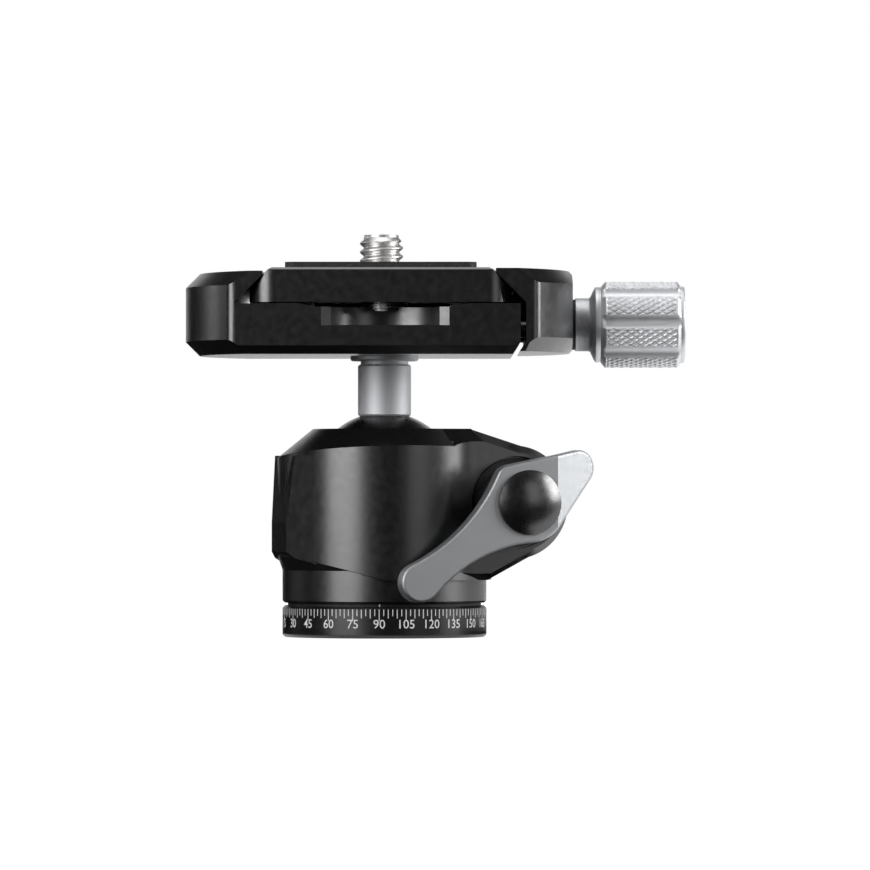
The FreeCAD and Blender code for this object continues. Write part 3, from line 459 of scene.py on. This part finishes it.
def grip_radius(x, turn):
    """Radius of the knurled grip in millimetres. Diamond height is one minus
    the larger of two slanted triangle waves."""
    rows = sizes().knurl_rows
    depth = sizes().knurl_depth / MM
    pitch = 2 * math.pi * GRIP_R / rows
    a = turn * rows / (2 * math.pi) + x / pitch * KNURL_SLANT
    b = turn * rows / (2 * math.pi) - x / pitch * KNURL_SLANT
    wave = np.maximum(np.abs(2 * (a % 1) - 1), np.abs(2 * (b % 1) - 1))
    raised = depth * (1 - wave) * 1.3
    return np.minimum(GRIP_R - depth * 0.8 + raised, GRIP_R)


class BALLHEAD_OT_knob(bpy.types.Operator):
    """The clamp's knob: collar, flare, ring and knurled grip with flutes."""

    bl_idname = "ball_head.knob"
    bl_label = "Clamp knob"

    def execute(self, context):
        left = KNOB_LOW.x / MM
        right = KNOB_HIGH.x / MM
        centre_z = KNOB_Z / MM
        turn = np.arange(KNOB_COLUMNS) * 2 * math.pi / KNOB_COLUMNS
        profile = knob_profile()
        grip_start = left + GRIP_FROM_LEFT
        grip_end = right - GRIP_FROM_RIGHT
        xs = np.linspace(grip_start, grip_end, 120)
        tail = knob_tail(right)
        along = np.concatenate([left + profile[:, 0], xs[1:-1], tail[:, 0]])
        plain = np.concatenate([profile[:, 1], np.full(len(xs) - 2, GRIP_R), tail[:, 1]])
        radius = np.repeat(plain[:, None], KNOB_COLUMNS, axis=1)
        on_grip = (along > grip_start + 0.25) & (along < grip_end - 0.25)
        wavy = grip_radius(along[:, None], turn[None, :])
        radius = np.where(on_grip[:, None], np.minimum(radius, wavy), radius)
        bitten = (along > left + 3.9) & (along < right - 0.61)
        for k in range(FLUTES):
            bite = flute_radius(turn, k)[None, :]
            radius = np.where(bitten[:, None], np.minimum(radius, bite), radius)

        def place(a, y, z):
            return np.stack([a * MM, -y * MM, (centre_z + z) * MM], axis=-1)

        knob = turned_mesh("knob_knurled", along, radius, place, 40)
        knob.data.materials.append(silver_knob())
        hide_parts("clamp_knob")
        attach(knob, "knob")
        return {"FINISHED"}


def threaded_rod(low, high, major, pitch, depth, lead, columns, per_turn):
    """Heights and radii of a threaded rod along Z, in millimetres. The
    radius falls from the crest by a triangle wave of (height / pitch - turn),
    with flats on the crest and root, and the last turn ends in a chamfer."""
    rows = int((high - low) / pitch * per_turn) + 2
    z = np.linspace(low, high, rows)
    turn = np.arange(columns) / columns
    phase = (z[:, None] / pitch - turn[None, :]) % 1
    tooth = np.clip(np.abs(2 * phase - 1) * 1.35 - 0.12, 0, 1)
    radius = major - depth * (1 - tooth)
    chamfer = major + (high - z) / lead - 0.95
    radius = np.minimum(radius, np.maximum(chamfer, major - depth * 1.15)[:, None])
    return z, radius


class BALLHEAD_OT_camera_screw(bpy.types.Operator):
    """The camera screw: head, neck and the thread that enters the camera."""

    bl_idname = "ball_head.camera_screw"
    bl_label = "Camera screw"

    def execute(self, context):
        x = CAM_X / MM
        low, top = CAM_LOW.z / MM, CAM_HIGH.z / MM
        pitch = sizes().thread_pitch / MM
        head_r = (CAM_HIGH.x - CAM_LOW.x) / MM / 2
        start = PAD_LOW.z / MM + 0.55
        z, radius = threaded_rod(start, top - 0.02, THREAD_MAJOR_R, pitch, THREAD_DEPTH,
                                 THREAD_RUN_OUT, columns=96, per_turn=18)
        columns = radius.shape[1]
        foot = np.array([(low, 0.9), (low + 0.01, head_r - 0.25), (low + 0.25, head_r),
                         (low + 1.25, head_r), (low + 1.5, head_r - 0.25),
                         (low + 1.5, THREAD_MAJOR_R), (start - 0.52, 3.1),
                         (start - 0.50, NECK_R), (start - 0.02, NECK_R)])
        along = np.concatenate([foot[:, 0], z, [top - 0.005, top]])
        rings = [np.repeat(foot[:, 1][:, None], columns, axis=1), radius,
                 np.repeat(np.array([[2.30], [2.10]]), columns, axis=1)]

        def place(a, u, v):
            return np.stack([(x + u) * MM, v * MM, a * MM], axis=-1)

        screw = turned_mesh("camera_thread", along, np.vstack(rings), place, 50)
        screw.data.materials.append(bright_steel())
        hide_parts("camera_screw")
        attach(screw, "camera_screw")
        return {"FINISHED"}


class BALLHEAD_OT_stop_screws(bpy.types.Operator):
    """The two small screws that keep the plate from sliding out."""

    bl_idname = "ball_head.stop_screws"
    bl_label = "Stop screws"

    def execute(self, context):
        finish = dark_steel("stop_steel", 0.45)
        for end in ("front", "back"):
            node = "stop_screw_" + end
            low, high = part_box(node)
            x, y = (low.x + high.x) / 2 / MM, (low.y + high.y) / 2 / MM
            z0, z1 = low.z / MM, high.z / MM
            z, radius = threaded_rod(z0 + 0.02, z1, STOP_THREAD_R, sizes().stop_pitch / MM,
                                     STOP_DEPTH, 1.0, columns=40, per_turn=10)
            columns = radius.shape[1]
            shade = np.minimum(1.0, 0.8 + (z - z0) * 0.5)
            radius = radius * shade[:, None]
            along = np.concatenate([[z0 + 0.7, z0 + 0.02], z])
            radius = np.vstack([np.full((1, columns), 0.55), np.full((1, columns), 0.62), radius])

            def place(a, u, v, x=x, y=y):
                return np.stack([(x + u) * MM, (y + v) * MM, a * MM], axis=-1)

            screw = turned_mesh("stop_thread_" + end, along, radius, place, 50)
            screw.data.materials.append(finish)
            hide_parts(node)
            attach(screw, "plate")
        return {"FINISHED"}


class BALLHEAD_OT_clamp_bolt(bpy.types.Operator):
    """The knurled socket head of the bolt under the plate."""

    bl_idname = "ball_head.clamp_bolt"
    bl_label = "Clamp bolt"

    def execute(self, context):
        low, top = BOLT_LOW.z / MM, BOLT_HIGH.z / MM
        head_r = (BOLT_HIGH.x - BOLT_LOW.x) / MM / 2
        head_low = top - BOLT_HEAD_H
        columns = BOLT_RIBS * 8
        turn = np.arange(columns) * 2 * math.pi / columns
        rib = BOLT_RIB_H * np.abs(np.sin(turn * BOLT_RIBS / 2))
        outline = np.array([
            (low, 1.8), (low + 0.3, BOLT_SHANK_R), (head_low, BOLT_SHANK_R),
            (head_low, head_r - 0.2), (head_low + 0.15, head_r), (top - 0.55, head_r),
            (top - 0.5, head_r), (top - 0.12, head_r - 0.1), (top, head_r - 0.35),
            (top, 1.85), (top - 2.0, 1.75)])
        along, plain = outline[:, 0], outline[:, 1]
        radius = np.repeat(plain[:, None], columns, axis=1)
        radius[4:6] -= rib

        def place(a, u, v):
            return np.stack([u * MM, v * MM, a * MM], axis=-1)

        bolt = turned_mesh("clamp_bolt_knurled", along, radius, place, 35)
        bolt.data.materials.append(dark_steel("bolt_steel", 0.30))
        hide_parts("clamp_bolt")
        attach(bolt, "clamp")
        return {"FINISHED"}


def wrap(points, radius, turn):
    """Lay flat points (across, up, out) round the dial: across becomes a
    turn about Z of across / radius, and out adds to the radius."""
    angle = turn + points[:, 0] / radius
    reach = radius + points[:, 2]
    return np.stack([reach * np.sin(angle), -reach * np.cos(angle), points[:, 1]], axis=-1)


BOX_FACES = np.array([
    (0, 3, 2, 1), (4, 5, 6, 7), (0, 1, 5, 4), (1, 2, 6, 5), (2, 3, 7, 6), (3, 0, 4, 7)])


def box_points(wide, low, high, inner, outer):
    """Corners of a thin bar standing on the dial, as (across, up, out)."""
    w = wide / 2
    return np.array([
        (-w, low, inner), (w, low, inner), (w, high, inner), (-w, high, inner),
        (-w, low, outer), (w, low, outer), (w, high, outer), (-w, high, outer)])


class BALLHEAD_OT_dial(bpy.types.Operator):
    """Marks and numbers round the panning base, and the index line."""

    bl_idname = "ball_head.dial"
    bl_label = "Dial"

    def execute(self, context):
        white = mark_white()
        top = DIAL_TOP - MARKS_DOWN
        points, faces = [], []
        for k in range(int(360 / MARK_STEP)):
            long = sizes().tick_short
            if k % 2 == 0:
                long = sizes().tick_middle
            if k % 6 == 0:
                long = sizes().tick_long
            bar = box_points(sizes().tick_wide, top - long, top, PRINT_IN, 0.012 * MM)
            turn = math.radians(k * MARK_STEP - 90) + FRONT_TURN
            faces.append(BOX_FACES + 8 * k)
            points.append(wrap(bar, DIAL_R, turn))
        ticks = put_mesh("dial_marks", np.vstack(points), np.vstack(faces))
        ticks.data.materials.append(white)
        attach(ticks, "base")
        self.numbers(white)
        self.index(white)
        return {"FINISHED"}

    def index(self, white):
        """The line on the washer's rim that the marks are read against."""
        low, high = WASHER_LOW.z + 0.02 * MM, WASHER_HIGH.z - 0.02 * MM
        bar = box_points(0.22 * MM, low, high, PRINT_IN, 0.02 * MM)
        line = put_mesh("dial_index", wrap(bar, WASHER_HIGH.x, FRONT_TURN), BOX_FACES)
        line.data.materials.append(white)
        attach(line, "base")

    def numbers(self, white):
        """A number at every long mark, wrapped on the dial."""
        points, faces = [], []
        count = 0
        for value in range(0, 360, NUMBER_STEP):
            curve = bpy.data.curves.new("number", "FONT")
            curve.body = str(value)
            curve.size = sizes().number_high * 1.38
            curve.align_x = "CENTER"
            curve.extrude = 0.02 * MM
            curve.offset = 0.008 * MM
            curve.resolution_u = 3
            text = bpy.data.objects.new("number", curve)
            bpy.context.collection.objects.link(text)
            bpy.context.view_layer.update()
            mesh = bpy.data.meshes.new_from_object(text.evaluated_get(
                bpy.context.evaluated_depsgraph_get()))
            flat = np.empty(len(mesh.vertices) * 3)
            mesh.vertices.foreach_get("co", flat)
            flat = flat.reshape(-1, 3)
            flat[:, 1] += DIAL_TOP - NUMBERS_DOWN
            flat[:, 2] = np.where(flat[:, 2] > 0, 0.014 * MM, PRINT_IN)
            turn = math.radians(value - 90) + FRONT_TURN
            points.append(wrap(flat, DIAL_R, turn))
            for polygon in mesh.polygons:
                faces.append([v + count for v in polygon.vertices])
            count += len(flat)
            bpy.data.objects.remove(text)
            bpy.data.meshes.remove(mesh)
        mesh = bpy.data.meshes.new("dial_numbers")
        mesh.from_pydata(np.vstack(points).tolist(), [], faces)
        mesh.update()
        numbers = bpy.data.objects.new("dial_numbers", mesh)
        bpy.context.collection.objects.link(numbers)
        numbers.data.materials.append(white)
        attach(numbers, "base")


def area_lamp(name, place, aim, size_x, size_y, power):
    """A rectangular soft lamp at a place, turned to a point."""
    light = bpy.data.lights.new(name, "AREA")
    light.shape = "RECTANGLE"
    light.size = size_x
    light.size_y = size_y
    light.energy = power
    lamp = bpy.data.objects.new(name, light)
    lamp.location = place
    look = Vector(aim) - Vector(place)
    lamp.rotation_euler = look.to_track_quat("-Z", "Y").to_euler()
    bpy.context.collection.objects.link(lamp)


def round_place(azimuth, distance, height):
    """A point round the part: azimuth 0 is towards the viewer, + is right."""
    a = math.radians(azimuth)
    return (distance * math.sin(a), -distance * math.cos(a), height)


def seen(tree):
    """One for camera, glossy and transmission rays, and zero for others."""
    path = tree.nodes.new("ShaderNodeLightPath")
    total = path.outputs["Is Camera Ray"]
    for kind in ("Is Glossy Ray", "Is Transmission Ray"):
        larger = tree.nodes.new("ShaderNodeMath")
        larger.operation = "MAXIMUM"
        tree.links.new(total, larger.inputs[0])
        tree.links.new(path.outputs[kind], larger.inputs[1])
        total = larger.outputs[0]
    return total


def floor_white(near, far, diffuse):
    """A pale floor that takes shadows, and glows up to white further out."""
    material = bpy.data.materials.new("floor_white")
    material.use_nodes = True
    tree = material.node_tree
    tree.nodes.clear()
    where = tree.nodes.new("ShaderNodeTexCoord")
    length = tree.nodes.new("ShaderNodeVectorMath")
    length.operation = "LENGTH"
    spread = tree.nodes.new("ShaderNodeMapRange")
    spread.interpolation_type = "SMOOTHSTEP"
    spread.inputs["From Min"].default_value = near
    spread.inputs["From Max"].default_value = far
    spread.inputs["To Min"].default_value = 0.90
    spread.inputs["To Max"].default_value = 1.0
    strength = tree.nodes.new("ShaderNodeMath")
    strength.operation = "MULTIPLY"
    glow = tree.nodes.new("ShaderNodeEmission")
    pale = tree.nodes.new("ShaderNodeBsdfDiffuse")
    pale.inputs["Color"].default_value = (diffuse, diffuse, diffuse, 1)
    both = tree.nodes.new("ShaderNodeAddShader")
    out = tree.nodes.new("ShaderNodeOutputMaterial")
    tree.links.new(where.outputs["Object"], length.inputs[0])
    tree.links.new(length.outputs["Value"], spread.inputs["Value"])
    tree.links.new(spread.outputs["Result"], strength.inputs[0])
    tree.links.new(seen(tree), strength.inputs[1])
    tree.links.new(strength.outputs[0], glow.inputs["Strength"])
    tree.links.new(glow.outputs[0], both.inputs[0])
    tree.links.new(pale.outputs[0], both.inputs[1])
    tree.links.new(both.outputs[0], out.inputs["Surface"])
    return material


def card_black():
    """Dark colour of the cards that keep the black parts black: painted shade, seen only in
    reflections and bounced light.
    """
    return node_material("card_black", Base_Color=(0.01, 0.01, 0.01, 1.0), Roughness=1.0,
                         Specular_IOR_Level=0.0)[0]


def flat_sheet(name, corners, material):
    """One four-cornered sheet of the stage."""
    sheet = put_mesh(name, np.array(corners, float), np.array([(0, 1, 2, 3)]))
    sheet.data.materials.append(material)
    return sheet


class BALLHEAD_OT_stage(bpy.types.Operator):
    """Floor, backdrop, soft lamps, world and camera."""

    bl_idname = "ball_head.stage"
    bl_label = "Stage"

    def execute(self, context):
        scene = context.scene
        far = FLOOR_REACH
        flat_sheet("floor", [(-far, -far, 0), (far, -far, 0), (far, far, 0), (-far, far, 0)],
                   floor_white(0.06, 0.45, 0.30))
        # painted shade round the part, seen only in its reflections
        self.cards(0.95, 1.2, 2.6, 1.4)
        middle = (0.005, 0, 0.03)
        area_lamp("left_soft", round_place(-44, 0.75, 0.20), middle, 0.50, 0.70, 6.4)
        area_lamp("right_soft", round_place(37, 0.75, 0.20), middle, 0.30, 0.60, 0.65)
        area_lamp("top_soft", (0.0, 0.05, 0.75), middle, 0.6, 0.6, 2.6)
        area_lamp("right_rim", round_place(82, 0.6, 0.25), middle, 0.25, 0.4, 3.6)
        area_lamp("left_rim", round_place(-115, 0.6, 0.25), middle, 0.10, 0.4, 0.4)
        self.world(scene)
        self.camera(scene)
        scene.view_settings.view_transform = "Standard"
        return {"FINISHED"}

    def cards(self, side, front, back, top):
        """Dark cards round the part and just above the floor. The camera looks past them, and
        reflections on the part show them.
        They cast no shadow and paint shade into the part's reflections; the cards just above the
        floor hide the white floor from them and darken the part's undersides."""
        # painted shade: sheets that only the part's reflections and bounced light see
        painted_shade = card_black()
        z, near = CARD_Z, CARD_FRONT_Y
        under_x, under_y, left_x = CARD_UNDER_X, CARD_UNDER_Y, CARD_LEFT_X
        sheets = {
            "card_left": [(-side, -front, 0), (-side, back, 0),
                          (-side, back, top), (-side, -front, top)],
            "card_right": [(side, -front, 0), (side, back, 0),
                           (side, back, top), (side, -front, top)],
            "card_front": [(-side, -front, 0), (side, -front, 0),
                           (side, -front, top), (-side, -front, top)],
            "card_low": [(-side, -front, z), (side, -front, z), (side, near, z), (-side, near, z)],
            "card_under": [(-side, near, z), (under_x, near, z),
                           (under_x, under_y, z), (-side, under_y, z)],
            "card_low_left": [(-side, under_y, z), (left_x, under_y, z),
                              (left_x, back, z), (-side, back, z)],
            "card_top": [(-side, -front, top), (side, -front, top),
                         (side, back, top), (-side, back, top)],
        }
        for name, corners in sheets.items():
            card = flat_sheet(name, corners, painted_shade)
            card.visible_camera = False
            card.visible_shadow = False

    def world(self, scene):
        """White wherever it is seen or mirrored, and a dim room otherwise."""
        world = bpy.data.worlds.new("studio")
        world.use_nodes = True
        tree = world.node_tree
        tree.nodes.clear()
        room = tree.nodes.new("ShaderNodeBackground")
        room.inputs["Color"].default_value = (0.9, 0.95, 1.0, 1)
        room.inputs["Strength"].default_value = 0.10
        white = tree.nodes.new("ShaderNodeBackground")
        white.inputs["Color"].default_value = (1, 1, 1, 1)
        pick = tree.nodes.new("ShaderNodeMixShader")
        out = tree.nodes.new("ShaderNodeOutputWorld")
        tree.links.new(seen(tree), pick.inputs["Fac"])
        tree.links.new(room.outputs[0], pick.inputs[1])
        tree.links.new(white.outputs[0], pick.inputs[2])
        tree.links.new(pick.outputs[0], out.inputs["Surface"])
        scene.world = world

    def camera(self, scene):
        """One metre in front, level, at the photograph's height and frame."""
        lens = bpy.data.cameras.new("camera")
        lens.sensor_width = 36
        lens.lens = lens.sensor_width * PICTURE_SCALE / PICTURE
        lens.shift_y = (EYE_PX[1] - PICTURE / 2) / PICTURE
        camera = bpy.data.objects.new("camera", lens)
        across = (EYE_PX[0] - AXIS_PX[0]) / PICTURE_SCALE
        up = (AXIS_PX[1] - EYE_PX[1]) / PICTURE_SCALE
        camera.location = (across, -1.0, up)
        camera.rotation_euler = (math.radians(90), 0, 0)
        scene.collection.objects.link(camera)
        scene.camera = camera


class BALLHEAD_PT_panel(bpy.types.Panel):
    """Lists the ball head's steps in the sidebar."""

    bl_label = "Ball Head"
    bl_space_type = "VIEW_3D"
    bl_region_type = "UI"
    bl_category = "Ball Head"

    def draw(self, context):
        column = self.layout.column()
        for step in STEPS:
            column.operator(step.bl_idname)
        for group in (context.scene.ball_head_sizes, context.scene.ball_head_colours):
            for name in group.__annotations__:
                column.prop(group, name)


STEPS = (
    BALLHEAD_OT_black_parts,
    BALLHEAD_OT_silver_parts,
    BALLHEAD_OT_small_parts,
    BALLHEAD_OT_knob,
    BALLHEAD_OT_camera_screw,
    BALLHEAD_OT_stop_screws,
    BALLHEAD_OT_clamp_bolt,
    BALLHEAD_OT_dial,
    BALLHEAD_OT_stage,
)
CLASSES = (BallHeadSizes, BallHeadColours) + STEPS + (BALLHEAD_PT_panel,)


def register():
    for item in CLASSES:
        bpy.utils.register_class(item)
    bpy.types.Scene.ball_head_sizes = PointerProperty(type=BallHeadSizes)
    bpy.types.Scene.ball_head_colours = PointerProperty(type=BallHeadColours)


def unregister():
    del bpy.types.Scene.ball_head_colours
    del bpy.types.Scene.ball_head_sizes
    for item in reversed(CLASSES):
        bpy.utils.unregister_class(item)


def plain(box):
    """A box's corners as lists of plain numbers."""
    return [[float(v) for v in corner] for corner in box]


def main():
    """Run every step in order."""
    register()
    for step in STEPS:
        area, verb = step.bl_idname.split(".")
        getattr(getattr(bpy.ops, area), verb)()


if __name__ == "__main__":
    main()
